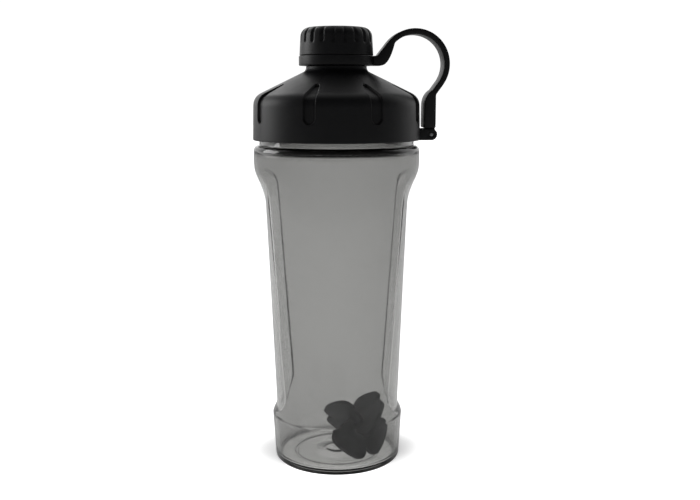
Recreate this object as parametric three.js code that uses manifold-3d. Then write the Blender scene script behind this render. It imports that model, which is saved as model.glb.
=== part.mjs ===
// A protein shaker bottle: a clear tumbler with side grips, a screw lid with a hinged carry loop,
// a screw cap on the drinking spout and a loose paddle mixer. Millimetres, +Z up, the bottle's axis
// on Z and its floor at Z = 0. The carry loop's hinge is on +X.
import * as THREE from 'three';
import { mergeVertices } from 'three/addons/utils/BufferGeometryUtils.js';
import Module from 'manifold-3d';

const wasm = await Module();
wasm.setup();

// Clearances between pieces
const restGap = 0.3;
const threadGap = 0.6;
const hingeGap = 0.3;

// Bottle
const baseRadius = 38.3;
const baseCorner = 2.6;
const bodyRadius = 49.3;
const bodyHeight = 193;
const uprightRim = 10;
const shoulderCorner = 3;
const bodyWall = 2.3;
const floorThickness = 3.2;
const floorRingRadius = 25.5;
const floorRingWidth = 1.6;
const floorRingDepth = 0.8;

// Grips pressed into both sides of the bottle
const gripTurn = -5.5;
const gripBottom = 28.3;
const gripLedge = 6.2;
const gripTopDrop = 12;
const gripRunOut = 22;
const gripHalfWidth = 27.8;
const gripCornerLow = 16.5;
const gripCornerHigh = 12;
const gripDepthLow = 2.4;
const gripDepthHigh = 4.9;

// Neck and the lid's screw thread
const neckStep = 4.9;
const collarStep = 3.4;
const collarHeight = 4.5;
const neckHeight = 20;
const neckWall = 2.4;
const threadStarts = 2;
const threadLead = 12;
const threadDepth = 1.6;
const threadFoot = 2.6;
const threadCrest = 1.4;
const threadTurns = 0.62;
const threadBottom = 7.4;
const threadPlay = 0.45;

// Lid
const lidLift = 3;
const lidWall = 2.4;
const skirtFlare = 0.6;
const skirtCrown = 5.6;
const skirtCorner = 8;
const coneAngle = 26;
const coneWall = 2.3;
const shelfWidth = 2.9;
const shelfHeight = 2.6;
const shelfFillet = 3;
const sealWidth = 4;
const sealThickness = 2;
const groovesPerLid = 8;
const grooveWidth = 7.2;
const grooveTipWidth = 3.4;
const grooveTipRadius = 34;
const grooveFoot = 7.4;
const grooveDepth = 1.4;

// Spout
const spoutRadius = 15;
const spoutCollar = 2.6;
const spoutHeight = 11.2;
const spoutTaper = 0.605;
const spoutWall = 2;

// Carry loop and its hinge
const pinReach = 7.2;
const pinRise = 3.1;
const pinRadius = 1.1;
const cheekRadius = 3.4;
const cheekThickness = 2.9;
const loopWidth = 13.5;
const ringHeight = 5.6;
const ringWall = 1.7;
const lipHeight = 1;
const lipReach = 0.9;
const fingerRadius = 17.2;
const strapThickness = 3.4;
const loopStand = 1.9;
const loopOverLeg = 12.6;
const fingerDrop = 1.9;
const strapStart = 1.4;
const tabReach = 8.5;
const tabCorner = 5;
const legInner = 4.5;
const legOuter = 2.4;
const legCorner = 7;
const legTurn = 36;

// Spout cap
const capOverSpout = 2.6;
const capInset = 0.8;
const capHeight = 16.8;
const capWall = 2.5;
const capCorner = 5.5;
const capCollarWall = 1.6;
const capBeadHeight = 1.2;
const capFlutes = 20;
const fluteRadius = 1.3;
const fluteBite = 0.7;
const fluteLength = 9.5;
const sleeveRadius = 11.5;
const sleeveWall = 1.8;
const linerRadius = 12.4;
const linerThickness = 1.8;

// Mixer
const paddleReach = 21.2;
const paddleWidth = 25;
const paddleShoulder = 14.6;
const paddleFullness = 0.78;
const paddleThickness = 2.6;
const hubWidth = 10.8;
const paddleTurns = [[0, 90, -90], [0, 0, 90], [0, 90, 0], [180, 0, 0], [90, 0, 0], [-90, 0, 90]];
const mixerSide = -42.4;
const mixerWallGap = 0.6;
const mixerTurn = [124.5, -39.4, -170.1];

// Fineness of the round pieces
const roundSteps = 48;
const capSteps = 40;
const arcSteps = 3;

const radians = THREE.MathUtils.degToRad;

// ---------------------------------------------------------------- shape helpers

function solid(geometry) {
  const bare = geometry.clone();
  bare.deleteAttribute('normal');
  bare.deleteAttribute('uv');
  const merged = mergeVertices(bare, 1e-4);
  const corners = merged.index.array;
  const kept = [];
  for (let i = 0; i < corners.length; i += 3) {
    const [a, b, c] = corners.slice(i, i + 3);
    if (a !== b && b !== c && c !== a) kept.push(a, b, c);
  }
  return new wasm.Manifold(new wasm.Mesh({
    numProp: 3,
    vertProperties: new Float32Array(merged.attributes.position.array),
    triVerts: new Uint32Array(kept),
  }));
}

function meshOf(name, shape, color, roughness, metalness = 0) {
  const { vertProperties, triVerts, numProp } = shape.getMesh();
  const points = new Float32Array((vertProperties.length / numProp) * 3);
  for (let i = 0; i < points.length / 3; i += 1) {
    points.set(vertProperties.slice(i * numProp, i * numProp + 3), i * 3);
  }
  const geometry = new THREE.BufferGeometry();
  geometry.setAttribute('position', new THREE.BufferAttribute(points, 3));
  geometry.setIndex(new THREE.BufferAttribute(new Uint32Array(triVerts), 1));
  geometry.computeVertexNormals();
  const mesh = new THREE.Mesh(geometry, new THREE.MeshStandardMaterial({ color, roughness, metalness }));
  mesh.name = name;
  return mesh;
}

// Turns [radius, height, fillet] corners into points, each fillet an arc tangent to its two sides.
function filleted(corners, steps = arcSteps) {
  const points = [];
  corners.forEach(([x, y, fillet = 0], i) => {
    const here = new THREE.Vector2(x, y);
    if (fillet === 0) {
      points.push(here);
      return;
    }
    const before = new THREE.Vector2(...corners[i - 1].slice(0, 2)).sub(here);
    const after = new THREE.Vector2(...corners[i + 1].slice(0, 2)).sub(here);
    const half = Math.acos(before.clone().normalize().dot(after.clone().normalize())) / 2;
    const reach = Math.min(fillet / Math.tan(half), before.length() * 0.98, after.length() * 0.98);
    const start = before.clone().setLength(reach).add(here);
    const end = after.clone().setLength(reach).add(here);
    const radius = reach * Math.tan(half);
    const centre = before.clone().normalize().add(after.clone().normalize());
    centre.setLength(Math.hypot(radius, reach)).add(here);
    const from = start.clone().sub(centre).angle();
    let sweep = end.clone().sub(centre).angle() - from;
    if (sweep > Math.PI) sweep -= 2 * Math.PI;
    if (sweep < -Math.PI) sweep += 2 * Math.PI;
    for (let k = 0; k <= steps; k += 1) {
      const turn = from + (sweep * k) / steps;
      points.push(new THREE.Vector2(centre.x + radius * Math.cos(turn), centre.y + radius * Math.sin(turn)));
    }
  });
  return points;
}

// A solid of revolution about Z. The profile runs up its outer side, from the axis back to the axis.
function turned(points, steps = roundSteps) {
  return solid(new THREE.LatheGeometry(points, steps).rotateX(Math.PI / 2));
}

function disc(radius, bottom, top, steps = roundSteps) {
  return turned([[0, bottom], [radius, bottom], [radius, top], [0, top]].map(([r, z]) => (
    new THREE.Vector2(r, z))), steps);
}

function ring(inner, outer, bottom, top, steps = roundSteps) {
  return disc(outer, bottom, top, steps).subtract(disc(inner, bottom - 1, top + 1, steps));
}

// A plate whose outline lies in the XZ plane, centred on Y = 0.
function uprightPlate(shape, width, curveSteps = 12) {
  const geometry = new THREE.ExtrudeGeometry(shape, { depth: width, bevelEnabled: false, curveSegments: curveSteps });
  return solid(geometry.translate(0, 0, -width / 2).rotateX(Math.PI / 2));
}

function boxAt(sizes, centre) {
  return solid(new THREE.BoxGeometry(...sizes).translate(...centre));
}

// ---------------------------------------------------------------- bottle

const taperEnd = bodyHeight - uprightRim;
const gripTop = bodyHeight - gripTopDrop;

function wallRadiusAt(z) {
  const share = THREE.MathUtils.clamp(z / taperEnd, 0, 1);
  return THREE.MathUtils.lerp(baseRadius, bodyRadius, share);
}

function gripDepthAt(z) {
  const ledgeEnd = gripBottom + gripLedge;
  const runOutStart = gripTop - gripRunOut;
  if (z <= ledgeEnd) return (gripDepthLow * (z - gripBottom)) / gripLedge;
  if (z <= runOutStart) {
    return THREE.MathUtils.lerp(gripDepthLow, gripDepthHigh, (z - ledgeEnd) / (runOutStart - ledgeEnd));
  }
  return gripDepthHigh * (0.5 + 0.5 * Math.cos((Math.PI * (z - runOutStart)) / gripRunOut));
}

// Half the grip's width round the bottle: its ends are rounded off.
function gripHalfWidthAt(z) {
  const into = Math.max(gripBottom + gripCornerLow - z, 0) / gripCornerLow;
  const past = Math.max(z - (gripTop - gripCornerHigh), 0) / gripCornerHigh;
  return gripHalfWidth * Math.sqrt(1 - Math.max(into, past) ** 2);
}

// The grips are the flatter flanks of an oval core that the round bottle is cut down to.
function gripCore(inset) {
  const margin = 2;
  const runOutStart = gripTop - gripRunOut;
  const ledgeEnd = gripBottom + gripLedge;
  const heights = [
    -margin, gripBottom - (gripLedge * margin) / gripDepthLow, gripBottom + gripLedge * 0.35, ledgeEnd,
    gripBottom + gripCornerLow,
  ];
  for (let k = 1; k <= 3; k += 1) heights.push(THREE.MathUtils.lerp(ledgeEnd, runOutStart, k / 3));
  for (let k = 1; k <= 5; k += 1) heights.push(THREE.MathUtils.lerp(runOutStart, gripTop, k / 5));
  heights.push(bodyHeight + neckHeight + margin);
  const outline = heights.map((z) => new THREE.Vector2(1, z));
  const column = new THREE.LatheGeometry(
    [new THREE.Vector2(0, heights[0]), ...outline, new THREE.Vector2(0, heights.at(-1))], roundSteps,
  ).rotateX(Math.PI / 2);
  const place = column.attributes.position;
  for (let i = 0; i < place.count; i += 1) {
    const z = place.getZ(i);
    const round = wallRadiusAt(z);
    const depth = gripDepthAt(z);
    let across = round + margin;
    let along = round + margin;
    if (z > gripBottom && z < gripTop) {
      across = round - depth;
      const half = gripHalfWidthAt(z);
      const edge = Math.sqrt(round ** 2 - half ** 2);
      along = half / Math.sqrt(1 - (edge / across) ** 2);
    }
    place.setX(i, place.getX(i) * (across - inset));
    place.setY(i, place.getY(i) * (along - inset));
  }
  return solid(column.rotateZ(radians(gripTurn)));
}

const neckRadius = bodyRadius - neckStep;
const collarRadius = bodyRadius - collarStep;
const neckTop = bodyHeight + neckHeight;

function threadRidge(root, reach, bottom, startAngle) {
  const steps = 18;
  const away = Math.sign(reach);
  const section = new THREE.Shape([
    new THREE.Vector2(root - away * 0.4, -threadFoot / 2),
    new THREE.Vector2(root, -threadFoot / 2),
    new THREE.Vector2(root + reach, -threadCrest / 2),
    new THREE.Vector2(root + reach, threadCrest / 2),
    new THREE.Vector2(root, threadFoot / 2),
    new THREE.Vector2(root - away * 0.4, threadFoot / 2),
  ]);
  const bar = new THREE.ExtrudeGeometry(section, { depth: 1, steps, bevelEnabled: false });
  const place = bar.attributes.position;
  for (let i = 0; i < place.count; i += 1) {
    const along = 1 - place.getZ(i);
    const turn = startAngle + along * threadTurns * 2 * Math.PI;
    const fade = Math.min(1, Math.min(along, 1 - along) * 6 + 0.12);
    const radius = root + (place.getX(i) - root) * (Math.sign(place.getX(i) - root) === away ? fade : 1);
    const height = bottom + place.getY(i) + along * threadTurns * threadLead;
    place.setXYZ(i, radius * Math.cos(turn), radius * Math.sin(turn), height);
  }
  return solid(bar);
}

function threadRidges(root, reach, bottom) {
  let all = null;
  for (let k = 0; k < threadStarts; k += 1) {
    const ridge = threadRidge(root, reach, bottom, (k * 2 * Math.PI) / threadStarts);
    all = all ? all.add(ridge) : ridge;
  }
  return all;
}

const threadStart = bodyHeight + threadBottom;
const bottleShell = turned(filleted([
  [0, 0], [baseRadius, 0, baseCorner], [bodyRadius, taperEnd], [bodyRadius, bodyHeight, shoulderCorner],
  [collarRadius, bodyHeight], [collarRadius, bodyHeight + collarHeight, 0.8],
  [neckRadius, bodyHeight + collarHeight + 0.8], [neckRadius, neckTop, 0.8], [0, neckTop],
]));
const neckBore = neckRadius - neckWall;
const innerTop = bodyHeight - bodyWall;
const bottleSpace = turned(filleted([
  [0, floorThickness], [baseRadius - bodyWall, floorThickness, baseCorner],
  [bodyRadius - bodyWall, taperEnd], [bodyRadius - bodyWall, innerTop, shoulderCorner], [neckBore, innerTop],
  [neckBore, neckTop + 1], [0, neckTop + 1],
]));
const floorRing = ring(
  floorRingRadius - floorRingWidth / 2, floorRingRadius + floorRingWidth / 2, -1, floorRingDepth,
);
const bottleBody = bottleShell.intersect(gripCore(0))
  .subtract(bottleSpace.intersect(gripCore(bodyWall)))
  .subtract(floorRing)
  .add(threadRidges(neckRadius, threadDepth, threadStart));

// ---------------------------------------------------------------- lid

const lidBottom = bodyHeight + lidLift;
const lidBore = neckRadius + threadDepth + threadGap;
const skirtRadius = lidBore + lidWall;
const sealBottom = neckTop + restGap;
const ceiling = sealBottom + sealThickness + restGap;
const skirtTop = ceiling + skirtCrown;
const coneSlope = Math.tan(radians(coneAngle));
const shelfRadius = spoutRadius + shelfWidth;
const shelfBase = skirtTop + (skirtRadius - shelfRadius) * coneSlope;
const shelfTop = shelfBase + shelfHeight;
const mouthRadius = spoutRadius - (spoutHeight - spoutCollar) * spoutTaper;

// The lid's outside, moved inwards by an even amount.
function lidOutline(inset, fillet) {
  const drop = inset / Math.cos(radians(coneAngle));
  const cornerHeight = skirtTop + inset * coneSlope - drop;
  return [
    [skirtRadius + skirtFlare - inset, lidBottom], [skirtRadius - inset, cornerHeight, fillet],
    [shelfRadius - inset, shelfBase + inset * coneSlope - drop, shelfFillet],
  ];
}

function lidGrooves() {
  const tip = grooveTipWidth / 2;
  const half = grooveWidth / 2;
  const plan = new THREE.Shape();
  plan.moveTo(skirtRadius + 5, -half);
  plan.lineTo(skirtRadius + 5, half);
  plan.lineTo(skirtRadius - skirtCorner / 2, half);
  plan.lineTo(grooveTipRadius + tip, tip);
  plan.absarc(grooveTipRadius + tip, 0, tip, Math.PI / 2, (3 * Math.PI) / 2, false);
  plan.lineTo(skirtRadius - skirtCorner / 2, -half);
  const planCut = solid(new THREE.ExtrudeGeometry(plan, {
    depth: shelfTop - lidBottom, bevelEnabled: false, curveSegments: 2,
  }).translate(0, 0, lidBottom));
  const foot = lidBottom + grooveFoot + half;
  const front = new THREE.Shape();
  front.moveTo(half, shelfTop);
  front.lineTo(-half, shelfTop);
  front.lineTo(-half, foot);
  front.absarc(0, foot, half, Math.PI, 2 * Math.PI, false);
  const frontCut = solid(new THREE.ExtrudeGeometry(front, {
    depth: skirtRadius + 5, bevelEnabled: false, curveSegments: 5,
  }).rotateX(Math.PI / 2).rotateZ(Math.PI / 2));
  const groove = planCut.intersect(frontCut);
  let all = null;
  for (let k = 0; k < groovesPerLid; k += 1) {
    const turn = (360 * (k + 0.5)) / groovesPerLid;
    const placed = groove.rotate([0, 0, turn]);
    all = all ? all.add(placed) : placed;
  }
  const core = turned(filleted([
    [0, lidBottom], ...lidOutline(grooveDepth, skirtCorner), [shelfRadius - grooveDepth, shelfTop], [0, shelfTop],
  ]));
  return all.subtract(core);
}

const pinX = skirtRadius + pinReach;
const pinZ = lidBottom + pinRise;
const knuckleWidth = loopWidth - 2 * cheekThickness - 2 * hingeGap;

function hingeCheeks() {
  const profile = new THREE.Shape();
  profile.moveTo(lidBore + 1, pinZ - cheekRadius);
  profile.lineTo(pinX, pinZ - cheekRadius);
  profile.absarc(pinX, pinZ, cheekRadius, -Math.PI / 2, Math.PI / 2, false);
  profile.lineTo(lidBore + 1, pinZ + cheekRadius);
  const hole = new THREE.Path();
  hole.absarc(pinX, pinZ, pinRadius + hingeGap, 0, 2 * Math.PI, true);
  profile.holes.push(hole);
  const block = uprightPlate(profile, loopWidth, 16);
  const slot = boxAt(
    [pinX, knuckleWidth + 2 * hingeGap, 4 * cheekRadius],
    [skirtRadius + skirtFlare + pinX / 2 + hingeGap, 0, pinZ],
  );
  return block.subtract(slot);
}

const spoutTop = shelfTop + spoutHeight;
const innerSlopeDrop = coneWall / Math.cos(radians(coneAngle));
const domeRadius = neckBore - 1;
const spoutBore = spoutRadius - spoutWall;
const domeBaseHeight = skirtTop - innerSlopeDrop - (domeRadius - skirtRadius) * coneSlope;
const domeTopHeight = skirtTop - innerSlopeDrop + (skirtRadius - spoutBore) * coneSlope;
const lidOutside = turned(filleted([
  [0, lidBottom], ...lidOutline(0, skirtCorner),
  [shelfRadius, shelfTop], [spoutRadius, shelfTop], [spoutRadius, shelfTop + spoutCollar],
  [mouthRadius, spoutTop, 0.6], [0, spoutTop],
]));
const lidSpace = turned(filleted([
  [0, lidBottom - 1], [lidBore, lidBottom - 1], [lidBore, ceiling], [domeRadius, ceiling],
  [domeRadius, domeBaseHeight, 2], [spoutBore, domeTopHeight, 2], [spoutBore, shelfTop + spoutCollar],
  [mouthRadius - spoutWall, spoutTop + 1], [0, spoutTop + 1],
]));
const lidThreadDrop = (threadFoot + threadCrest) / 2 + threadPlay;
const lidShell = lidOutside
  .subtract(lidGrooves())
  .add(hingeCheeks())
  .subtract(lidSpace)
  .add(threadRidges(lidBore, -threadDepth, threadStart - lidThreadDrop));

const lidGasket = ring(lidBore - restGap - sealWidth, lidBore - restGap, sealBottom, sealBottom + sealThickness);

const hingePin = solid(new THREE.CylinderGeometry(pinRadius, pinRadius, loopWidth, 16)
  .translate(pinX, 0, pinZ));

// ---------------------------------------------------------------- carry loop

const ringBottom = shelfTop + restGap;
const ringTop = ringBottom + ringHeight;
const capInside = spoutRadius + capOverSpout;
const capNeckRadius = capInside + capCollarWall;
const ringBore = capNeckRadius + restGap + lipReach;
const ringWidth = ringBore + ringWall;

// The strap leaves the ring, runs straight up to touch the finger loop's circle, goes over and round
// it, and turns down into the leg that the knuckle ends. The circle is clear of the ring and reaches
// out over the leg.
function strapOutline() {
  const outer = fingerRadius + strapThickness;
  const centreZ = (ringBottom + ringTop) / 2 - fingerDrop;
  const startX = ringWidth + strapStart;
  const legX = pinX + legOuter;
  const centreX = Math.max(startX + loopStand + outer, legX - loopOverLeg);
  const away = Math.hypot(centreX - startX, ringTop - centreZ);
  const startAngle = Math.atan2(ringTop - centreZ, startX - centreX);
  const touch = startAngle - Math.acos(outer / away);
  const low = radians(-legTurn);
  const drop = 1 / Math.tan(-low);
  const legInnerX = pinX - legInner;
  const legBottom = pinZ + cheekRadius + hingeGap + 0.2;
  const legTop = centreZ + outer * Math.sin(low) - (centreX + outer * Math.cos(low) - legX) * drop;
  const innerEndX = centreX + fingerRadius * Math.cos(low) - strapThickness;
  const innerEndZ = centreZ + fingerRadius * Math.sin(low) - strapThickness * drop;
  const tabX = ringWidth + tabReach;
  const shape = new THREE.Shape();
  shape.moveTo(ringBore - ringWall, ringBottom);
  shape.lineTo(ringBore - ringWall, ringTop);
  shape.lineTo(startX, ringTop);
  shape.absarc(centreX, centreZ, outer, touch, low, true);
  shape.lineTo(legX, legTop);
  shape.lineTo(legX, legBottom);
  shape.lineTo(legInnerX, legBottom);
  shape.lineTo(legInnerX, legTop - legCorner);
  shape.quadraticCurveTo(legInnerX, legTop, innerEndX, innerEndZ);
  shape.absarc(centreX, centreZ, fingerRadius, low, touch - 0.12, false);
  shape.quadraticCurveTo(tabX, ringBottom, tabX - tabCorner, ringBottom);
  return shape;
}

const knuckle = uprightPlate((() => {
  const profile = new THREE.Shape();
  profile.moveTo(pinX - cheekRadius, pinZ + cheekRadius + 3);
  profile.lineTo(pinX - cheekRadius, pinZ);
  profile.absarc(pinX, pinZ, cheekRadius, Math.PI, 2 * Math.PI, false);
  profile.lineTo(pinX + legOuter, pinZ + cheekRadius);
  profile.lineTo(pinX + legOuter, pinZ + cheekRadius + 3);
  const hole = new THREE.Path();
  hole.absarc(pinX, pinZ, pinRadius + hingeGap, 0, 2 * Math.PI, true);
  profile.holes.push(hole);
  return profile;
})(), knuckleWidth, 16);

const ringSpace = disc(ringBore, ringBottom - 1, ringTop - lipHeight)
  .add(disc(ringBore - lipReach, ringTop - lipHeight - 0.5, ringTop + 1));
const carryLoop = disc(ringWidth, ringBottom, ringTop)
  .add(uprightPlate(strapOutline(), loopWidth, 20))
  .subtract(ringSpace)
  .add(knuckle);

// ---------------------------------------------------------------- spout cap

const capBottom = ringTop + restGap;
const capTop = capBottom + capHeight;
const capRadius = ringWidth - capInset;
const beadRadius = ringBore - restGap;
const linerBottom = spoutTop + restGap;

function capFluteCuts() {
  const cutter = new THREE.CylinderGeometry(fluteRadius, fluteRadius, fluteLength + 2, 6)
    .rotateX(Math.PI / 2)
    .translate(capRadius + fluteRadius - fluteBite, 0, capTop - fluteLength / 2 + 1);
  const cut = solid(cutter);
  let all = null;
  for (let k = 0; k < capFlutes; k += 1) {
    const placed = cut.rotate([0, 0, (360 * (k + 0.5)) / capFlutes]);
    all = all ? all.add(placed) : placed;
  }
  return all;
}

const capOutside = turned(filleted([
  [0, ringBottom], [beadRadius, ringBottom, 0.3], [beadRadius, ringBottom + capBeadHeight],
  [capNeckRadius, ringBottom + capBeadHeight], [capNeckRadius, capBottom], [capRadius + 0.4, capBottom],
  [capRadius - 0.5, capTop - 1, capCorner], [0, capTop],
]), capSteps);
const capSpace = turned(filleted([
  [0, ringBottom - 1], [capInside, ringBottom - 1], [capInside, capTop - capWall - 1, 2],
  [0, capTop - capWall],
]), capSteps);
const sleeve = ring(
  sleeveRadius - sleeveWall, sleeveRadius, linerBottom + linerThickness + restGap, capTop - capWall + 0.5, 20,
);
const spoutCap = capOutside.subtract(capFluteCuts()).subtract(capSpace).add(sleeve);
const capLiner = disc(linerRadius, linerBottom, linerBottom + linerThickness, 32);

// ---------------------------------------------------------------- mixer

// One paddle, from the hub out along +Y. It widens to its shoulder and ends in a full, round curve.
function paddle() {
  const hub = hubWidth / 2;
  const half = paddleWidth / 2;
  const root = -paddleThickness / 2;
  const cornerHeight = paddleShoulder + (paddleReach - paddleShoulder) * paddleFullness;
  const cornerSide = half * paddleFullness;
  const shape = new THREE.Shape();
  shape.moveTo(hub, root);
  shape.lineTo(half, paddleShoulder);
  shape.bezierCurveTo(half, cornerHeight, cornerSide, paddleReach, 0, paddleReach);
  shape.bezierCurveTo(-cornerSide, paddleReach, -half, cornerHeight, -half, paddleShoulder);
  shape.lineTo(-hub, root);
  return solid(new THREE.ExtrudeGeometry(shape, {
    depth: paddleThickness, bevelEnabled: false, curveSegments: 8,
  }).translate(0, 0, -paddleThickness / 2));
}

// Six paddles on three crossed arms: the two on an arm are a quarter turn from each other.
const mixerShape = paddleTurns
  .map((turn) => paddle().rotate(turn))
  .reduce((all, one) => all.add(one))
  .rotate(mixerTurn);

// The mixer lies on the floor and against the wall, as far out as the wall lets it.
function mixerReachAt(distance) {
  const side = radians(mixerSide);
  const { vertProperties } = mixerShape.getMesh();
  const lowest = mixerShape.boundingBox().min[2];
  let least = Infinity;
  for (let i = 0; i < vertProperties.length; i += 3) {
    const x = vertProperties[i] + distance * Math.cos(side);
    const y = vertProperties[i + 1] + distance * Math.sin(side);
    const z = vertProperties[i + 2] + floorThickness + restGap - lowest;
    const room = wallRadiusAt(z) - bodyWall - Math.max(0, gripDepthAt(z)) - Math.hypot(x, y);
    least = Math.min(least, room);
  }
  return least;
}

let mixerDistance = 0;
while (mixerReachAt(mixerDistance + 0.05) > mixerWallGap) mixerDistance += 0.05;
const mixerBody = mixerShape.translate([
  mixerDistance * Math.cos(radians(mixerSide)), mixerDistance * Math.sin(radians(mixerSide)),
  floorThickness + restGap - mixerShape.boundingBox().min[2],
]);

// ---------------------------------------------------------------- assembly

const group = new THREE.Group();
group.add(
  meshOf('bottle_body', bottleBody, 0x8b8b89, 0.12),
  meshOf('lid_shell', lidShell, 0x141416, 0.42),
  meshOf('lid_gasket', lidGasket, 0x2a2a2c, 0.7),
  meshOf('hinge_pin', hingePin, 0xb4b6b8, 0.3, 1),
  meshOf('carry_loop', carryLoop, 0x161618, 0.45),
  meshOf('spout_cap', spoutCap, 0x131315, 0.42),
  meshOf('cap_liner', capLiner, 0x2a2a2c, 0.7),
  meshOf('mixer', mixerBody, 0x333238, 0.5),
);

export default group;
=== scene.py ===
import math

import bmesh
import bpy
from mathutils import Euler, Matrix, Vector
from mathutils.geometry import interpolate_bezier


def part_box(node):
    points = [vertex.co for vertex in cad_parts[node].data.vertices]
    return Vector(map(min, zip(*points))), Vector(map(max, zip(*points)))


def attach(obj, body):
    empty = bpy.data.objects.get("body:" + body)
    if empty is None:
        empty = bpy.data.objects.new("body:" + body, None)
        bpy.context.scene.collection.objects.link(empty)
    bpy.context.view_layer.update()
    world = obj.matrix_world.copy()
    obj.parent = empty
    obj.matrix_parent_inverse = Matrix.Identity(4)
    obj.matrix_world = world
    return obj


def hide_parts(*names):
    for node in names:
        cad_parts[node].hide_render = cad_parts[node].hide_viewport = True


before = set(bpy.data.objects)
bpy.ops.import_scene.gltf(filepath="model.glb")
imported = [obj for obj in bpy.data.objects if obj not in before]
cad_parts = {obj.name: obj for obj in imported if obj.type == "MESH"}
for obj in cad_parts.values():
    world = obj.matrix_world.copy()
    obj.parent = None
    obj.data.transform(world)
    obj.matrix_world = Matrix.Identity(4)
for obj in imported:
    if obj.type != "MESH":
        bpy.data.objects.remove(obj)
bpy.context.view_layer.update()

# ------------------------------------------------------------------------------------------ bottle
# The tumbler is one injection-moulded shell of smoke-tinted copolyester with an even wall. Two shallow
# grips are pressed into its flanks, a push-up stiffens its floor, and a two-start thread on the neck
# takes the lid.
mm = 0.001
bottle_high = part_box("bottle_body")[1]
body_radius = bottle_high.y
neck_top = bottle_high.z
base_radius = 38.3 * mm
base_corner = 2.6 * mm
neck_height = 20 * mm
body_height = neck_top - neck_height
taper_end = body_height - 10 * mm
taper_blend = 60 * mm
shoulder_corner = 3 * mm
body_wall = 2.3 * mm
floor_thickness = 3.2 * mm
push_up = 1.3 * mm
push_up_radius = 14.5 * mm
push_up_flat = 7 * mm
foot_ring = 25.5 * mm
foot_ring_half = 0.8 * mm
foot_ring_depth = 0.8 * mm
grip_turn = math.radians(-5.5)
grip_bottom = 28.3 * mm
grip_ledge = 6.2 * mm
grip_top = body_height - 12 * mm
grip_run_out = 22 * mm
grip_half_width = 27.8 * mm
grip_corner_low = 16.5 * mm
grip_corner_high = 12 * mm
grip_depth_low = 2.4 * mm
grip_depth_high = 4.9 * mm
crease_round = 0.5 * mm
grip_step = 0.6 * mm
grip_step_fall = 0.35 * mm
bottle_columns = 240
crease_column_turn = math.radians(39)
crease_column_reach = math.radians(12)
crease_crowding = 0.35
collar_radius = body_radius - 3.4 * mm
collar_top = body_height + 4.5 * mm
neck_radius = body_radius - 4.9 * mm
neck_bore = neck_radius - 2.4 * mm
thread_lead = 12 * mm
thread_depth = 1.6 * mm
thread_foot = 2.6 * mm
thread_crest = 1.4 * mm
thread_turns = 0.62
thread_start = body_height + 7.4 * mm
thread_step = 0.4 * mm
ledge_step = 0.8 * mm
run_out_step = 1.2 * mm
wall_step = 3.5 * mm
shortest_step = 0.6


def rounded(corners, arc_steps=6):
    """The points of an outline of (x, z, fillet) corners, each fillet an arc that meets both sides."""
    points = []
    for i, (x, z, fillet) in enumerate(corners):
        here = Vector((x, z))
        if not fillet:
            points.append(here)
            continue
        before = (Vector(corners[i - 1][:2]) - here).normalized()
        after = (Vector(corners[(i + 1) % len(corners)][:2]) - here).normalized()
        half = before.angle(after) / 2
        centre = here + (before + after).normalized() * fillet / math.sin(half)
        spoke = here + before * fillet / math.tan(half) - centre
        sweep = (2 * half - math.pi) * math.copysign(1, before.cross(after))
        for k in range(arc_steps + 1):
            points.append(centre + Matrix.Rotation(sweep * k / arc_steps, 2) @ spoke)
    return points


def stepped(points, pitch, closed=False):
    """The same outline with points added, so that its straight stretches step by pitch(point)."""
    ends = points[1:] + points[:1]
    if not closed:
        ends.pop()
    finer = []
    for start, end in zip(points, ends):
        finer.append(start)
        along = end - start
        gone = pitch(start)
        while gone < along.length - shortest_step * pitch(end):
            finer.append(start + along * gone / along.length)
            gone += pitch(finer[-1])
    return finer if closed else finer + [points[-1]]


def spun(outline, columns, closed=False):
    """One turn of an outline of (radius, height) points round Z, as a mesh whose faces point out."""
    bm = bmesh.new()
    ring = [bm.verts.new((x, 0, z)) for x, z in outline]
    for a, b in zip(ring, ring[1:]):
        bm.edges.new((a, b))
    if closed:
        bm.edges.new((ring[-1], ring[0]))
    bmesh.ops.spin(
        bm, geom=bm.verts[:] + bm.edges[:], axis=(0, 0, 1), cent=(0, 0, 0),
        angle=2 * math.pi, steps=columns, use_merge=True,
    )
    bmesh.ops.remove_doubles(bm, verts=bm.verts[:], dist=0.001 * mm)
    bmesh.ops.recalc_face_normals(bm, faces=bm.faces[:])
    return bm


def piece(bm, name, material, sharp=40):
    """Turns a mesh in the making into a named object of one material, smooth but for its sharp edges."""
    mesh = bpy.data.meshes.new(name)
    bm.to_mesh(mesh)
    bm.free()
    mesh.materials.append(material)
    mesh.shade_smooth()
    mesh.set_sharp_from_angle(angle=math.radians(sharp))
    made = bpy.data.objects.new(name, mesh)
    bpy.context.scene.collection.objects.link(made)
    return made


def ramp(value, low, high):
    """0 below low, 1 above high and smooth between."""
    share = min(max((value - low) / (high - low), 0), 1)
    return share * share * (3 - 2 * share)


def wall_radius(z):
    """The round wall's outside radius at a height: a plain taper, then straight."""
    return base_radius + (body_radius - base_radius) * min(max(z / taper_end, 0), 1)


def grip_depth(z):
    """How deep a grip is pressed in: off the ledge at its foot, deeper upwards, and out at its top."""
    ledge_end = grip_bottom + grip_ledge
    run_out_start = grip_top - grip_run_out
    if z <= ledge_end:
        return grip_depth_low * (z - grip_bottom) / grip_ledge
    if z <= run_out_start:
        share = (z - ledge_end) / (run_out_start - ledge_end)
        return grip_depth_low + (grip_depth_high - grip_depth_low) * share
    return grip_depth_high * (0.5 + 0.5 * math.cos(math.pi * (z - run_out_start) / grip_run_out))


def grip_half_width_at(z):
    """Half a grip's width at a height: even but for its rounded foot and top."""
    into = max(grip_bottom + grip_corner_low - z, 0) / grip_corner_low
    past = max(z - (grip_top - grip_corner_high), 0) / grip_corner_high
    return grip_half_width * math.sqrt(max(1 - max(into, past) ** 2, 0))


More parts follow.
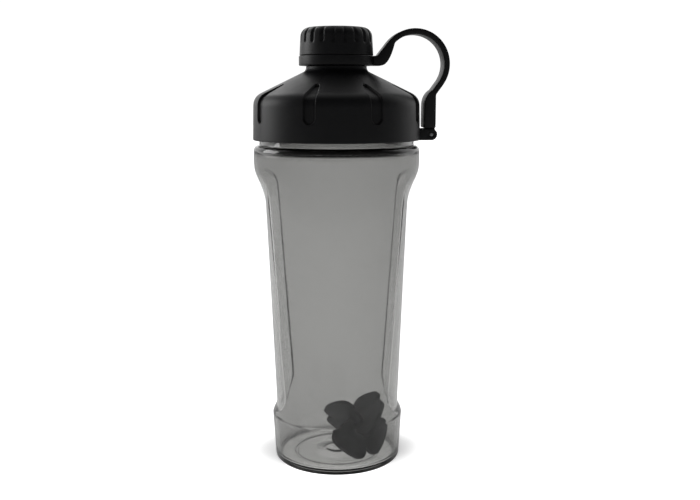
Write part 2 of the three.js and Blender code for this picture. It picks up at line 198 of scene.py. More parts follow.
def grip_radius(turn, z, inset):
    """How far out the wall is at an angle from the grip's middle: the round wall or, where that is
    further in, the flank of an oval core, with the crease between them rounded. Outside, the flank
    lies one small step deeper."""
    wall = wall_radius(z)
    depth = grip_depth(z)
    half = grip_half_width_at(z)
    across = wall - depth
    along = half / math.sqrt(1 - (wall ** 2 - half ** 2) / across ** 2)
    oval = 1 / math.hypot(math.cos(turn) / (across - inset), math.sin(turn) / (along - inset))
    blend = min(crease_round, 0.5 * depth)
    near = max(blend - abs(wall - inset - oval), 0) / blend
    step = 0 if inset else min(grip_step, 0.3 * depth) * ramp(wall - oval, 0, grip_step_fall)
    return min(wall - inset, oval) - near * near * blend / 4 - step


def crease_column(turn, z):
    """Moves an even column's angle so that one column runs along each crease, with close neighbours."""
    away = abs(math.remainder(turn, math.pi))
    even = crease_column_turn
    past = away - even
    if abs(past) < crease_column_reach:
        past *= crease_crowding + (1 - crease_crowding) * abs(past) / crease_column_reach
    width = max(grip_half_width_at(min(max(z, grip_bottom), grip_top)), 0.75 * grip_half_width)
    crease = math.asin(width / wall_radius(z))
    gathered = even + past
    if gathered < even:
        moved = gathered * crease / even
    else:
        quarter = math.pi / 2
        moved = quarter - (quarter - gathered) * (quarter - crease) / (quarter - even)
    return turn + (moved - away) * math.copysign(1, math.remainder(turn, math.pi))


def thread_ridge(turn, z, start):
    """How far the two-start thread stands out at this place, when its first ridge starts at start."""
    stands = 0
    for first in (0, math.pi):
        along = ((turn - first) % (2 * math.pi)) / (2 * math.pi * thread_turns)
        if along < 1:
            off = abs(z - start - along * thread_turns * thread_lead)
            fade = min(1, 8 * along, 8 * (1 - along))
            stands = max(stands, thread_depth * fade * (1 - ramp(off, thread_crest / 2, thread_foot / 2)))
    return stands


def bottle_pitch(point):
    """The outline's step at a point: short on the thread and where a grip's edge bends."""
    z = point.y
    if z > collar_top:
        return thread_step
    if grip_bottom - 6 * mm < z < grip_bottom + 20 * mm:
        return ledge_step
    if grip_top - grip_run_out - 4 * mm < z < grip_top + 2 * mm:
        return run_out_step
    return wall_step


inner_top = body_height - body_wall
bottle_outline = stepped(rounded([
    (0, push_up, 0), (push_up_flat, push_up, 6 * mm), (push_up_radius, 0, 1.5 * mm),
    (foot_ring - foot_ring_half, 0, 0.3 * mm), (foot_ring - foot_ring_half, foot_ring_depth, 0.3 * mm),
    (foot_ring + foot_ring_half, foot_ring_depth, 0.3 * mm), (foot_ring + foot_ring_half, 0, 0.3 * mm),
    (base_radius, 0, base_corner), (body_radius, taper_end, taper_blend),
    (body_radius, body_height, shoulder_corner), (collar_radius, body_height, 0.5 * mm),
    (collar_radius, collar_top, 0.8 * mm), (neck_radius, collar_top + 0.8 * mm, 0.5 * mm),
    (neck_radius, neck_top, 0.9 * mm), (neck_bore, neck_top, 0.9 * mm), (neck_bore, inner_top, 1.5 * mm),
    (body_radius - body_wall, inner_top, shoulder_corner),
    (body_radius - body_wall, taper_end, taper_blend),
    (base_radius - body_wall, floor_thickness, base_corner),
    (push_up_radius, floor_thickness, 1.5 * mm), (push_up_flat, floor_thickness + push_up, 6 * mm),
    (0, floor_thickness + push_up, 0),
]), bottle_pitch)
bottle_mesh = spun(bottle_outline, bottle_columns)
for vert in bottle_mesh.verts:
    radius = vert.co.xy.length
    z = vert.co.z
    if radius < 0.001 * mm:
        continue
    turn = crease_column(math.atan2(vert.co.y, vert.co.x), z)
    if grip_bottom < z < grip_top:
        outer = radius > wall_radius(z) - body_wall / 2
        radius = grip_radius(turn, z, 0 if outer else body_wall)
    turn += grip_turn
    if radius > neck_radius - 0.1 * mm and z > collar_top + 1 * mm:
        radius += thread_ridge(turn, z, thread_start)
    vert.co = (radius * math.cos(turn), radius * math.sin(turn), z)


def linear(colour):
    """An sRGB hex colour as linear RGBA."""
    parts = [int(colour[i:i + 2], 16) / 255 for i in (1, 3, 5)]
    return [c / 12.92 if c <= 0.04045 else ((c + 0.055) / 1.055) ** 2.4 for c in parts] + [1]


def add_node(tree, kind, settings, links=None):
    """Adds a node, sets its sockets and properties, and links its sockets to other nodes' outputs."""
    node = tree.nodes.new(kind)
    for key, value in settings.items():
        if isinstance(key, int) or key in node.inputs:
            node.inputs[key].default_value = value
        else:
            setattr(node, key, value)
    for key, output in (links or {}).items():
        tree.links.new(output, node.inputs[key])
    return node


def new_material(name):
    """An empty material, its node tree, its output and the Object coordinates of what wears it."""
    material = bpy.data.materials.new(name)
    material.use_nodes = True
    tree = material.node_tree
    tree.nodes.clear()
    output = add_node(tree, "ShaderNodeOutputMaterial", {})
    place = add_node(tree, "ShaderNodeTexCoord", {}).outputs["Object"]
    return material, tree, output.inputs["Surface"], place


# Smoke-tinted copolyester from a polished mould: clear and glossy. The dye is in the plastic, so a
# longer way through it is darker, and each wall passes under half the light. The cooled plastic is
# very slightly wavy, and washing leaves fine scuffs.
smoke, tree, surface, place = new_material("smoke_copolyester_polished")
waves = add_node(tree, "ShaderNodeTexNoise", {"Scale": 1 / (28 * mm), "Detail": 1}, {"Vector": place})
wavy = add_node(
    tree, "ShaderNodeBump", {"Strength": 0.25, "Distance": 0.25 * mm}, {"Height": waves.outputs["Fac"]})
scuffs = add_node(
    tree, "ShaderNodeTexNoise", {"Scale": 1 / (1.5 * mm), "Detail": 6, "Distortion": 0.6},
    {"Vector": place})
gloss = add_node(
    tree, "ShaderNodeMapRange",
    {"From Min": 0.45, "From Max": 0.8, "To Min": 0.03, "To Max": 0.09}, {"Value": scuffs.outputs["Fac"]})
shader = add_node(
    tree, "ShaderNodeBsdfPrincipled",
    {"Base Color": linear("#D6D6D5"), "IOR": 1.54, "Transmission Weight": 1.0},
    {"Roughness": gloss.outputs["Result"], "Normal": wavy.outputs["Normal"]})
tree.links.new(shader.outputs["BSDF"], surface)
dye = add_node(tree, "ShaderNodeVolumeAbsorption", {"Color": linear("#BCBCBB"), "Density": 368})
tree.links.new(dye.outputs["Volume"], surface.node.inputs["Volume"])

bottle = piece(bottle_mesh, "bottle", smoke)
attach(bottle, "bottle")
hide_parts("bottle_body")

# ------------------------------------------------------------------------------------------ lid
# The lid is one moulding of black polypropylene: a skirt with a two-start thread inside, a cone with
# eight finger grooves, and a hollow spout. Two cheeks on the skirt hold the carry loop's pin.
lid_low, lid_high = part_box("lid_shell")
lid_bottom = body_height + 3 * mm
spout_top = lid_high.z
flare_radius = -lid_low.x
skirt_radius = flare_radius - 0.6 * mm
lid_bore = skirt_radius - 2.4 * mm
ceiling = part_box("lid_gasket")[1].z + 0.3 * mm
skirt_top = ceiling + 5.6 * mm
cone_angle = math.radians(26)
cone_slope = math.tan(cone_angle)
spout_radius = 15 * mm
spout_wall = 2 * mm
spout_bore = spout_radius - spout_wall
shelf_radius = spout_radius + 2.9 * mm
shelf_base = skirt_top + (skirt_radius - shelf_radius) * cone_slope
shelf_top = spout_top - 11.2 * mm
spout_collar_top = shelf_top + 2.6 * mm
mouth_radius = 9.8 * mm
dome_radius = neck_bore - 1 * mm
cone_wall = 2.3 * mm
dome_drop = cone_wall / math.cos(cone_angle)
dome_base = skirt_top - dome_drop + (skirt_radius - dome_radius) * cone_slope
dome_top = skirt_top - dome_drop + (skirt_radius - spout_bore) * cone_slope
grooves = 8
groove_half = 3.6 * mm
groove_tip = 1.7 * mm
groove_tip_radius = 34 * mm + groove_tip
groove_wide_radius = skirt_radius - 4 * mm
groove_foot = lid_bottom + 10.2 * mm + groove_half
groove_depth = 1.4 * mm
groove_flank = 0.9 * mm
groove_lip = 0.15 * groove_flank
groove_stops = (0.25, 0.55)
lid_thread_drop = 2.45 * mm
lid_columns_per_half_groove = 20
fine_step = 0.4 * mm
coarse_step = 1.5 * mm


def groove_half_at(radius, z):
    """Half a groove's width: even on the skirt, narrower up the cone, and round at both ends."""
    share = min(max((radius - groove_tip_radius) / (groove_wide_radius - groove_tip_radius), 0), 1)
    half = groove_tip + (groove_half - groove_tip) * share
    if radius < groove_tip_radius:
        half = math.sqrt(max(groove_tip ** 2 - (groove_tip_radius - radius) ** 2, 0))
    if z < groove_foot:
        half = min(half, math.sqrt(max(groove_half ** 2 - (groove_foot - z) ** 2, 0)))
    return half


def groove_column(turn, radius, z):
    """Moves an even column's angle so that columns crowd along the edges of the nearest groove, and
    gives the new angle and how far it is from the groove's middle."""
    half_sector = math.pi / grooves
    off = math.remainder(turn - half_sector, 2 * half_sector)
    even = abs(off) / half_sector
    reach = max(radius, groove_tip_radius - groove_tip)
    narrowest = 0.35 * (groove_half if radius > groove_wide_radius else groove_tip)
    edge = math.asin(max(groove_half_at(reach, max(z, groove_foot - groove_half)), narrowest) / reach)
    inside = edge - 0.8 * edge * min(1, groove_flank / (edge * reach))
    outside = edge + 0.35 * groove_flank / reach
    stops = [(0, 0), (groove_stops[0], inside), (groove_stops[1], outside), (1, half_sector)]
    for (low, start), (high, end) in zip(stops, stops[1:]):
        if even <= high:
            break
    moved = start + (end - start) * (even - low) / (high - low)
    return turn + (moved - abs(off)) * math.copysign(1, off), moved


def lid_pitch(point):
    """The outline's step at a point: short where the grooves end and on the thread."""
    radius, z = point
    on_skirt = radius > lid_bore - 0.1 * mm
    if on_skirt and z < groove_foot + 1 * mm:
        return fine_step
    if abs(radius - groove_tip_radius) < 2.2 * mm and z > ceiling + 5 * mm:
        return fine_step
    return coarse_step


lid_outline = stepped(rounded([
    (flare_radius, lid_bottom, 0.5 * mm), (skirt_radius, skirt_top, 8 * mm),
    (shelf_radius, shelf_base, 3 * mm), (shelf_radius, shelf_top, 0.4 * mm),
    (spout_radius, shelf_top, 0.4 * mm), (spout_radius, spout_collar_top, 0.5 * mm),
    (mouth_radius, spout_top, 0.7 * mm), (mouth_radius - spout_wall, spout_top, 0.7 * mm),
    (spout_bore, spout_collar_top, 2 * mm), (spout_bore, dome_top, 2 * mm),
    (dome_radius, dome_base, 2 * mm), (dome_radius, ceiling, 0.4 * mm), (lid_bore, ceiling, 0.4 * mm),
    (lid_bore, lid_bottom, 0.4 * mm),
]), lid_pitch, closed=True)
lid_mesh = spun(lid_outline, 2 * grooves * lid_columns_per_half_groove, closed=True)
lid_mesh.normal_update()
for vert in lid_mesh.verts:
    radius = vert.co.xy.length
    z = vert.co.z
    outwards = vert.normal.dot(Vector((vert.co.x, vert.co.y, 0)) / radius)
    turn, off = groove_column(math.atan2(vert.co.y, vert.co.x), radius, z)
    if outwards > 0.1 and z > groove_foot - groove_half:
        past_edge = radius * math.sin(off) - groove_half_at(radius, z)
        sunk = groove_depth * ramp(-past_edge, -groove_lip, groove_flank - groove_lip)
        radius -= sunk * outwards
        z -= sunk * vert.normal.z
    if outwards < -0.9 and z < ceiling:
        radius -= thread_ridge(turn, z, thread_start - lid_thread_drop)
    vert.co = (radius * math.cos(turn), radius * math.sin(turn), z)


def arc(centre, radius, start, end, steps):
    """Points on an arc in a plate's plane, from one angle to another in degrees."""
    turns = (math.radians(start + (end - start) * k / steps) for k in range(steps + 1))
    return [Vector((centre[0] + radius * math.cos(t), centre[1] + radius * math.sin(t))) for t in turns]


def plate(outline, low, high, rim, hole=None):
    """A plate with an (x, z) outline, perhaps a hole, from Y = low to high, its sharp edges rounded."""
    bm = bmesh.new()
    for loop in [outline] + ([hole] if hole else []):
        ring = [bm.verts.new((x, low, z)) for x, z in loop]
        for a, b in zip(ring, ring[1:] + ring[:1]):
            bm.edges.new((a, b))
    bmesh.ops.triangle_fill(bm, use_beauty=True, edges=bm.edges[:])
    far_side = bmesh.ops.extrude_face_region(bm, geom=bm.faces[:])["geom"]
    moved = [part for part in far_side if isinstance(part, bmesh.types.BMVert)]
    bmesh.ops.translate(bm, verts=moved, vec=(0, high - low, 0))
    bmesh.ops.recalc_face_normals(bm, faces=bm.faces[:])
    edges = [edge for edge in bm.edges if edge.calc_face_angle(0) > math.radians(30)]
    bmesh.ops.bevel(
        bm, geom=edges, offset=rim, segments=3, profile=0.5, affect="EDGES", material=-1,
        clamp_overlap=True)
    return bm


def joined(bm, *others):
    """Adds other meshes in the making to the first one."""
    for other in others:
        spare = bpy.data.meshes.new("spare")
        other.to_mesh(spare)
        other.free()
        bm.from_mesh(spare)
        bpy.data.meshes.remove(spare)
    return bm


pin_low, pin_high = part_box("hinge_pin")
pin_x = (pin_low.x + pin_high.x) / 2
pin_z = (pin_low.z + pin_high.z) / 2
pin_radius = (pin_high.z - pin_low.z) / 2
pin_gap = 0.3 * mm
hinge_half = pin_high.y
cheek_radius = 3.4 * mm
cheek_thickness = 2.9 * mm
cheek_root = lid_bore + 1 * mm
cheek_rim = 0.4 * mm
pin_hole = arc((pin_x, pin_z), pin_radius + pin_gap, 0, 345, steps=23)
cheek_outline = (
    [Vector((cheek_root, pin_z - cheek_radius))]
    + arc((pin_x, pin_z), cheek_radius, -90, 90, steps=18)
    + [Vector((cheek_root, pin_z + cheek_radius))])
for low in (-hinge_half, hinge_half - cheek_thickness):
    joined(lid_mesh, plate(cheek_outline, low, low + cheek_thickness, cheek_rim, pin_hole))


def satin_plastic(name, colour, worn_colour, roughness, grain):
    """Plastic or rubber from a spark-eroded mould: its fine grain, uneven sheen and faint mottling."""
    material, tree, surface, place = new_material(name)
    mottle = add_node(
        tree, "ShaderNodeTexNoise", {"Scale": 1 / (14 * mm), "Detail": 5, "Roughness": 0.6},
        {"Vector": place})
    colours = add_node(
        tree, "ShaderNodeMix",
        {"data_type": "RGBA", 6: linear(colour), 7: linear(worn_colour)},
        {0: mottle.outputs["Fac"]})
    sheen = add_node(
        tree, "ShaderNodeMapRange",
        {"From Min": 0.3, "From Max": 0.7, "To Min": roughness - 0.04, "To Max": roughness + 0.05},
        {"Value": mottle.outputs["Fac"]})
    pits = add_node(
        tree, "ShaderNodeTexNoise", {"Scale": 1 / grain, "Detail": 2}, {"Vector": place})
    rough = add_node(
        tree, "ShaderNodeBump", {"Strength": 0.3, "Distance": 0.02 * mm}, {"Height": pits.outputs["Fac"]})
    shader = add_node(
        tree, "ShaderNodeBsdfPrincipled", {"IOR": 1.49, "Specular IOR Level": 0.22},
        {"Base Color": colours.outputs[2], "Roughness": sheen.outputs["Result"],
         "Normal": rough.outputs["Normal"]})
    tree.links.new(shader.outputs["BSDF"], surface)
    return material


# Black polypropylene from a spark-eroded mould: a satin black with soft, wide highlights. The grain
# is about 0.1 mm, drawn at 0.5 mm because it would not show otherwise.
black = satin_plastic("black_polypropylene_satin", "#0E0E0F", "#151517", 0.4, 0.5 * mm)

lid = piece(lid_mesh, "lid", black)
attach(lid, "lid")
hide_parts("lid_shell")

# ------------------------------------------------------------------------------------------ lid seal
# The seal is a flat ring of black silicone that sits under the lid's ceiling and is squeezed on the
# neck's rim. It is moulded, and stays in the lid by its own stretch.
gasket_low, gasket_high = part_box("lid_gasket")
gasket_outer = gasket_high.y
gasket_inner = gasket_outer - 4 * mm
ring_columns = 144
gasket_mesh = spun(rounded([
    (gasket_inner, gasket_low.z, 0.5 * mm), (gasket_outer, gasket_low.z, 0.5 * mm),
    (gasket_outer, gasket_high.z, 0.5 * mm), (gasket_inner, gasket_high.z, 0.5 * mm),
]), ring_columns, closed=True)

# Black silicone rubber, moulded and matt: darker than the lid, with hardly any highlight.
silicone = satin_plastic("black_silicone_matt", "#161617", "#1F1F21", 0.68, 0.4 * mm)

gasket = piece(gasket_mesh, "seal_ring", silicone)
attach(gasket, "lid_seal")
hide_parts("lid_gasket")

# ------------------------------------------------------------------------------------------ hinge pin
# The pin is a short length of drawn stainless wire, pressed through the lid's cheeks and the loop's
# knuckle, with both ends slightly domed and flush with the cheeks.
pin_dome = 0.35 * mm
pin_columns = 32
pin_mesh = spun(rounded([
    (0, -hinge_half, 0), (pin_radius, -hinge_half, pin_dome), (pin_radius, hinge_half, pin_dome),
    (0, hinge_half, 0),
]), pin_columns)
bmesh.ops.rotate(
    pin_mesh, verts=pin_mesh.verts[:], cent=(0, 0, 0), matrix=Matrix.Rotation(math.pi / 2, 3, "X"))
bmesh.ops.translate(pin_mesh, verts=pin_mesh.verts[:], vec=(pin_x, 0, pin_z))

# Drawn stainless steel: a bright grey metal, with fine lines along the wire from the die.
steel, tree, surface, place = new_material("stainless_steel_drawn")
stretched = add_node(tree, "ShaderNodeMapping", {"Scale": (1, 0.05, 1)}, {"Vector": place})
lines = add_node(
    tree, "ShaderNodeTexNoise", {"Scale": 1 / (0.2 * mm), "Detail": 3},
    {"Vector": stretched.outputs["Vector"]})
dull = add_node(
    tree, "ShaderNodeMapRange", {"To Min": 0.22, "To Max": 0.4}, {"Value": lines.outputs["Fac"]})
shader = add_node(
    tree, "ShaderNodeBsdfPrincipled", {"Base Color": linear("#8F9092"), "Metallic": 1.0},
    {"Roughness": dull.outputs["Result"]})
tree.links.new(shader.outputs["BSDF"], surface)

pin = piece(pin_mesh, "pin", steel)
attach(pin, "lid")
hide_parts("hinge_pin")

# ------------------------------------------------------------------------------------------ carry loop
# The carry loop is one black polypropylene moulding: a ring round the spout cap's neck, a strap that
# arches into a finger loop, and a leg whose knuckle turns on the pin. Its ring's lip snaps over the
# cap's bead, so the cap stays with the loop.
ring_bottom = shelf_top + 0.3 * mm
ring_top = ring_bottom + 5.6 * mm
ring_radius = -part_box("carry_loop")[0].x
ring_bore = ring_radius - 1.7 * mm
lip_reach = 0.9 * mm
lip_height = 1 * mm
strap_half = hinge_half
strap_thickness = 3.4 * mm
strap_rim = 0.6 * mm
finger_radius = 17.2 * mm
finger_outer = finger_radius + strap_thickness
finger_z = (ring_bottom + ring_top) / 2 - 1.9 * mm
strap_start = ring_radius + 1.4 * mm
finger_x = strap_start + 1.9 * mm + finger_outer
leg_outer = pin_x + 2.4 * mm
leg_inner = pin_x - 4.5 * mm
leg_bottom = pin_z + cheek_radius + 0.5 * mm
leg_corner = 7 * mm
leg_turn = -36
leg_drop = 1 / math.tan(math.radians(-leg_turn))
leg_top = (
    finger_z + finger_outer * math.sin(math.radians(leg_turn))
    - (finger_x + finger_outer * math.cos(math.radians(leg_turn)) - leg_outer) * leg_drop)
leg_bend_end = Vector((
    finger_x + finger_radius * math.cos(math.radians(leg_turn)) - strap_thickness,
    finger_z + finger_radius * math.sin(math.radians(leg_turn)) - strap_thickness * leg_drop))
tab_end = ring_radius + 8.5 * mm
tab_corner = 5 * mm
knuckle_half = 3.55 * mm
knuckle_overlap = 3 * mm
knuckle_rim = 0.3 * mm


def bend(start, through, end, steps):
    """Points on a quadratic curve between two points, without the points themselves."""
    shares = (k / steps for k in range(1, steps))
    return [start * (1 - s) ** 2 + through * 2 * s * (1 - s) + end * s * s for s in shares]


def strap_outline():
    """Along the top of the strap, over and round the finger loop, down the leg, and back inside."""
    away = Vector((strap_start - finger_x, ring_top - finger_z))
    start = math.degrees(math.atan2(away.y, away.x) - math.acos(finger_outer / away.length))
    top = arc((finger_x, finger_z), finger_outer, start, leg_turn, steps=56)
    inside = arc((finger_x, finger_z), finger_radius, leg_turn, start - 7, steps=50)
    leg = [(leg_outer, leg_top), (leg_outer, leg_bottom), (leg_inner, leg_bottom)]
    bend_start = Vector((leg_inner, leg_top - leg_corner))
    tab = Vector((tab_end - tab_corner, ring_bottom))
    root = ring_radius - 1.2 * mm
    return (
        [Vector((root, ring_bottom)), Vector((root, ring_top)), Vector((strap_start, ring_top))]
        + top + [Vector(point) for point in leg] + [bend_start]
        + bend(bend_start, Vector((leg_inner, leg_top)), leg_bend_end, steps=8) + [leg_bend_end]
        + inside + bend(inside[-1], Vector((tab_end, ring_bottom)), tab, steps=10) + [tab])


knuckle_outline = (
    [Vector((pin_x - cheek_radius, pin_z + cheek_radius + knuckle_overlap))]
    + arc((pin_x, pin_z), cheek_radius, 180, 360, steps=18)
    + [Vector((leg_outer, pin_z + cheek_radius)),
       Vector((leg_outer, pin_z + cheek_radius + knuckle_overlap))])
loop_mesh = spun(rounded([
    (ring_bore, ring_bottom, 0.3 * mm), (ring_radius, ring_bottom, 0.5 * mm),
    (ring_radius, ring_top, 0.5 * mm), (ring_bore - lip_reach, ring_top, 0.3 * mm),
    (ring_bore - lip_reach, ring_top - lip_height, 0.3 * mm), (ring_bore, ring_top - lip_height, 0.1 * mm),
]), ring_columns, closed=True)
joined(
    loop_mesh, plate(strap_outline(), -strap_half, strap_half, strap_rim),
    plate(knuckle_outline, -knuckle_half, knuckle_half, knuckle_rim, pin_hole))

loop = piece(loop_mesh, "carry_loop_strap", black)
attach(loop, "loop")
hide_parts("carry_loop")

# ------------------------------------------------------------------------------------------ spout cap
# The spout cap is black polypropylene too: a dome with twenty finger flutes over a plain collar, a
# bead below that the carry loop's ring holds, and a sleeve inside that presses its liner on the spout.
cap_low, cap_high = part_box("spout_cap")
liner_low, liner_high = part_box("cap_liner")
cap_bottom = ring_top + 0.3 * mm
cap_top = cap_high.z
cap_radius = ring_radius - 0.8 * mm
cap_corner = 5.5 * mm
cap_inside = spout_radius + 2.6 * mm
cap_neck = cap_inside + 1.6 * mm
bead_radius = ring_bore - 0.3 * mm
bead_top = cap_low.z + 1.2 * mm
cap_ceiling = cap_top - 2.5 * mm
sleeve_radius = 11.5 * mm
sleeve_bore = sleeve_radius - 1.8 * mm
sleeve_foot = liner_high.z + 0.3 * mm
cap_flutes = 20
cap_columns_per_flute = 16
cap_fine_step = 0.5 * mm
flute_half = 1.5 * mm
flute_depth = 0.9 * mm
flute_foot = cap_top - 9.5 * mm
flute_run_out = 0.8 * mm
flute_head = cap_radius - 5 * mm


def cap_pitch(point):
    """The outline's step at a point: short on the outside wall, where the flutes end."""
    outside = point.x > cap_radius - 1.2 * mm
    return cap_fine_step if outside and point.y > flute_foot - 1 * mm else coarse_step


cap_outline = stepped(rounded([
    (0, cap_top, 0), (cap_radius - 0.5 * mm, cap_top - 1 * mm, cap_corner),
    (cap_radius + 0.4 * mm, cap_bottom, 0.3 * mm), (cap_neck, cap_bottom, 0.2 * mm),
    (cap_neck, bead_top, 0.2 * mm), (bead_radius, bead_top, 0.2 * mm), (bead_radius, cap_low.z, 0.4 * mm),
    (cap_inside, cap_low.z, 0.3 * mm), (cap_inside, cap_ceiling - 1 * mm, 2 * mm),
    (sleeve_radius, cap_ceiling, 0.5 * mm), (sleeve_radius, sleeve_foot, 0.3 * mm),
    (sleeve_bore, sleeve_foot, 0.3 * mm), (sleeve_bore, cap_ceiling, 0.5 * mm), (0, cap_ceiling, 0),
], arc_steps=8), cap_pitch)
cap_mesh = spun(cap_outline, cap_flutes * cap_columns_per_flute)
cap_mesh.normal_update()
for vert in cap_mesh.verts:
    radius = vert.co.xy.length
    z = vert.co.z
    if radius < flute_head - 1 * mm or z < flute_foot - 1 * mm:
        continue
    turn = math.atan2(vert.co.y, vert.co.x)
    half_sector = math.pi / cap_flutes
    off = math.remainder(turn - half_sector, 2 * half_sector)
    moved = off * (0.5 + 0.5 * abs(off) / half_sector)
    outwards = vert.normal.dot(Vector((vert.co.x, vert.co.y, 0)) / radius)
    if outwards > 0.05 or z > cap_ceiling:
        across = ramp(flute_half - abs(radius * math.sin(moved)), 0, flute_half)
        ends = (
            ramp(z, flute_foot - flute_run_out, flute_foot + flute_run_out)
            * ramp(radius, flute_head, cap_radius))
        radius -= flute_depth * across * ends * outwards
        z -= flute_depth * across * ends * vert.normal.z
    turn += moved - off
    vert.co = (radius * math.cos(turn), radius * math.sin(turn), z)

cap = piece(cap_mesh, "cap_shell", black)
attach(cap, "cap")
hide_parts("spout_cap")

# ------------------------------------------------------------------------------------------ cap liner
# The liner is a die-cut disc of the same silicone that sits in the cap and closes the spout's mouth.
liner_columns = 96
liner_mesh = spun(rounded([
    (0, liner_low.z, 0), (liner_high.y, liner_low.z, 0.4 * mm), (liner_high.y, liner_high.z, 0.4 * mm),
    (0, liner_high.z, 0),
]), liner_columns)
liner = piece(liner_mesh, "liner_disc", silicone)
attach(liner, "cap_seal")
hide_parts("cap_liner")

# ------------------------------------------------------------------------------------------ mixer
# The mixer is a loose moulding of slate-coloured polypropylene: six paddles on three crossed arms, the
# two on an arm a quarter turn from each other. It lies where it fell, on the floor and the wall.
mixer_low, mixer_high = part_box("mixer")
paddle_reach = 21.2 * mm
paddle_half = 12.5 * mm
paddle_shoulder = 14.6 * mm
paddle_fullness = 0.78
paddle_thickness = 2.6 * mm
paddle_rim = 1.1 * mm
paddle_curve_points = 14
hub_half = 5.4 * mm
paddle_turns = [(0, 0, 0), (90, 0, 180), (0, 0, 90), (90, 0, -90), (0, -90, 0), (90, 90, 0)]
mixer_turn = [math.radians(angle) for angle in (124.5, -39.4, -170.1)]

corner_reach = paddle_shoulder + (paddle_reach - paddle_shoulder) * paddle_fullness
corner_half = paddle_half * paddle_fullness
paddle_tip = Vector((paddle_reach, 0))
paddle_outline = [Vector((-paddle_thickness / 2, -hub_half))] + interpolate_bezier(
    Vector((paddle_shoulder, -paddle_half)), Vector((corner_reach, -paddle_half)),
    Vector((paddle_reach, -corner_half)), paddle_tip, paddle_curve_points)
paddle_outline += [Vector((x, -z)) for x, z in reversed(paddle_outline[:-1])]
mixer_mesh = bmesh.new()
for turn in paddle_turns:
    paddle = plate(paddle_outline, -paddle_thickness / 2, paddle_thickness / 2, paddle_rim)
    bmesh.ops.rotate(
        paddle, verts=paddle.verts[:], cent=(0, 0, 0),
        matrix=Euler([math.radians(angle) for angle in turn]).to_matrix())
    joined(mixer_mesh, paddle)
bmesh.ops.rotate(
    mixer_mesh, verts=mixer_mesh.verts[:], cent=(0, 0, 0), matrix=Euler(mixer_turn).to_matrix())
lowest = Vector([min(vert.co[axis] for vert in mixer_mesh.verts) for axis in range(3)])
highest = Vector([max(vert.co[axis] for vert in mixer_mesh.verts) for axis in range(3)])
bmesh.ops.translate(
    mixer_mesh, verts=mixer_mesh.verts[:], vec=(mixer_low + mixer_high - lowest - highest) / 2)

# Slate polypropylene, moulded: a very dark blue-grey satin, a little rougher than the lid.
slate = satin_plastic("slate_polypropylene_satin", "#1E1D22", "#27262B", 0.5, 0.5 * mm)

mixer = piece(mixer_mesh, "paddle_mixer", slate)
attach(mixer, "mixer")
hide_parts("mixer")

# ------------------------------------------------------------------------------------------ studio
# A white paper sweep, lit from behind and above with the near side left dim, as dark plastic and clear
# walls are lit. The camera sees plain white behind the bottle, and a mirror reflection sees the paper
# dimmer than it is.
sweep_half = 6
sweep_drop = 0.3 * mm
shadow_place = (0, 11 * mm, 0)
shadow_size = (62 * mm, 43 * mm, 1)
shadow_light = 0.3
foot_light = 2.2
mirrored_share = 0.12
dim_side = 0.08
white_side = 1.05
overhead_share = 0.25

floor_mesh = bmesh.new()
bmesh.ops.create_grid(floor_mesh, x_segments=8, y_segments=8, size=sweep_half)
bmesh.ops.translate(floor_mesh, verts=floor_mesh.verts[:], vec=(0, 0, -sweep_drop))

# Uncoated white paper: matt and even, with fibres about 2 mm long that barely show. Its own painted glow
# falls off to a painted soft shadow round the foot, and a painted pool of light is stronger under the
# foot.
paper, tree, surface, place = new_material("white_paper_sweep")
fibres = add_node(tree, "ShaderNodeTexNoise", {"Scale": 1 / (2 * mm), "Detail": 3}, {"Vector": place})
whites = add_node(
    tree, "ShaderNodeMix", {"data_type": "RGBA", 6: linear("#F0F0F0"), 7: linear("#F6F6F6")},
    {0: fibres.outputs["Fac"]})
round_foot = add_node(
    tree, "ShaderNodeMapping",
    {"vector_type": "TEXTURE", "Location": shadow_place, "Scale": shadow_size}, {"Vector": place})
away = add_node(tree, "ShaderNodeVectorMath", {"operation": "LENGTH"}, {0: round_foot.outputs["Vector"]})
# Painted shadow: the paper's glow is dimmed round the foot.
shadow = add_node(
    tree, "ShaderNodeMapRange",
    {"interpolation_type": "SMOOTHSTEP", "From Min": 0.6, "From Max": 1.05, "To Min": shadow_light,
     "To Max": 1},
    {"Value": away.outputs["Value"]})
from_axis = add_node(tree, "ShaderNodeVectorMath", {"operation": "LENGTH"}, {0: place})
# Painted pool of light: the paper glows stronger under the foot.
under_foot = add_node(
    tree, "ShaderNodeMapRange",
    {"From Min": base_radius - 4 * mm, "From Max": base_radius - 1 * mm, "To Min": foot_light,
     "To Max": 0},
    {"Value": from_axis.outputs["Value"]})
glow = add_node(
    tree, "ShaderNodeMath", {"operation": "ADD"},
    {0: shadow.outputs["Result"], 1: under_foot.outputs["Result"]})
ray = add_node(tree, "ShaderNodeLightPath", {})
mirrored = add_node(
    tree, "ShaderNodeMapRange", {"To Min": 1, "To Max": mirrored_share},
    {"Value": ray.outputs["Is Reflection Ray"]})
shown = add_node(
    tree, "ShaderNodeMath", {"operation": "MULTIPLY"},
    {0: glow.outputs["Value"], 1: mirrored.outputs["Result"]})
shader = add_node(
    tree, "ShaderNodeBsdfPrincipled", {"Roughness": 0.9, "Emission Color": linear("#FFFFFF")},
    {"Base Color": whites.outputs[2], "Emission Strength": shown.outputs["Value"]})
tree.links.new(shader.outputs["BSDF"], surface)
floor = piece(floor_mesh, "floor", paper)

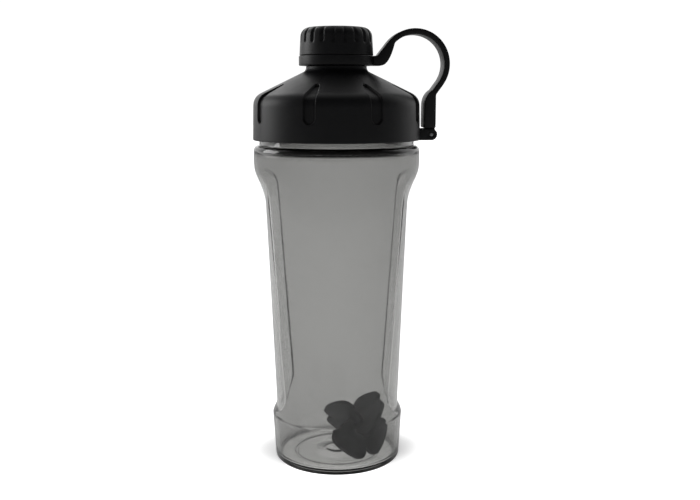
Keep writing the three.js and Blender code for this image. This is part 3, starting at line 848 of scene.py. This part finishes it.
# The room is white behind the bottle, dim on the near side and dim straight overhead, for every ray but
# the camera's own.
world = bpy.data.worlds.new("studio")
bpy.context.scene.world = world
world.use_nodes = True
tree = world.node_tree
tree.nodes.clear()
towards = add_node(tree, "ShaderNodeTexCoord", {}).outputs["Generated"]
split = add_node(tree, "ShaderNodeSeparateXYZ", {}, {"Vector": towards})
behind = add_node(
    tree, "ShaderNodeMapRange",
    {"interpolation_type": "SMOOTHSTEP", "From Min": -0.15, "From Max": 0.4, "To Min": dim_side,
     "To Max": white_side},
    {"Value": split.outputs["Y"]})
overhead = add_node(
    tree, "ShaderNodeMapRange",
    {"interpolation_type": "SMOOTHSTEP", "From Min": 0.6, "From Max": 0.9, "To Min": 1,
     "To Max": overhead_share},
    {"Value": split.outputs["Z"]})
room = add_node(
    tree, "ShaderNodeMath", {"operation": "MULTIPLY"},
    {0: behind.outputs["Result"], 1: overhead.outputs["Result"]})
ray = add_node(tree, "ShaderNodeLightPath", {})
seen = add_node(
    tree, "ShaderNodeMix", {3: white_side}, {0: ray.outputs["Is Camera Ray"], 2: room.outputs["Value"]})
backdrop = add_node(
    tree, "ShaderNodeBackground", {"Color": linear("#FFFFFF")}, {"Strength": seen.outputs[0]})
add_node(tree, "ShaderNodeOutputWorld", {}, {"Surface": backdrop.outputs["Background"]})


def softbox(name, place, aim, size, power):
    """A square studio softbox that points at a place on the bottle's axis."""
    light = bpy.data.lights.new(name, "AREA")
    light.size = size
    light.energy = power
    lamp = bpy.data.objects.new(name, light)
    lamp.location = place
    lamp.rotation_euler = (Vector((0, 0, aim)) - lamp.location).to_track_quat("-Z", "Y").to_euler()
    bpy.context.scene.collection.objects.link(lamp)


softbox("overhead_softbox", Vector((0, 0.1, 1.1)), aim=0.1, size=0.8, power=0.8)
softbox("back_left_softbox", Vector((-0.42, 0.95, 0.95)), aim=0.2, size=0.35, power=1)
softbox("left_softbox", Vector((-0.9, 0.3, 0.45)), aim=0.15, size=0.5, power=3)

# The camera is level with the lid, about half a metre away, and looks a little down. It is turned with
# the grips, so that one shows on each side. The Standard view transform keeps the paper's white.
camera_place = Vector((8, -558, 223.6)) * mm
camera_pitch = math.radians(9.6)
focal_length = 47.83
camera_lens = bpy.data.cameras.new("camera")
camera_lens.lens = focal_length
camera = bpy.data.objects.new("camera", camera_lens)
camera.matrix_world = (
    Matrix.Rotation(grip_turn, 4, "Z") @ Matrix.Translation(camera_place)
    @ Matrix.Rotation(math.pi / 2 - camera_pitch, 4, "X"))
bpy.context.scene.collection.objects.link(camera)
bpy.context.scene.camera = camera
bpy.context.scene.view_settings.view_transform = "Standard"
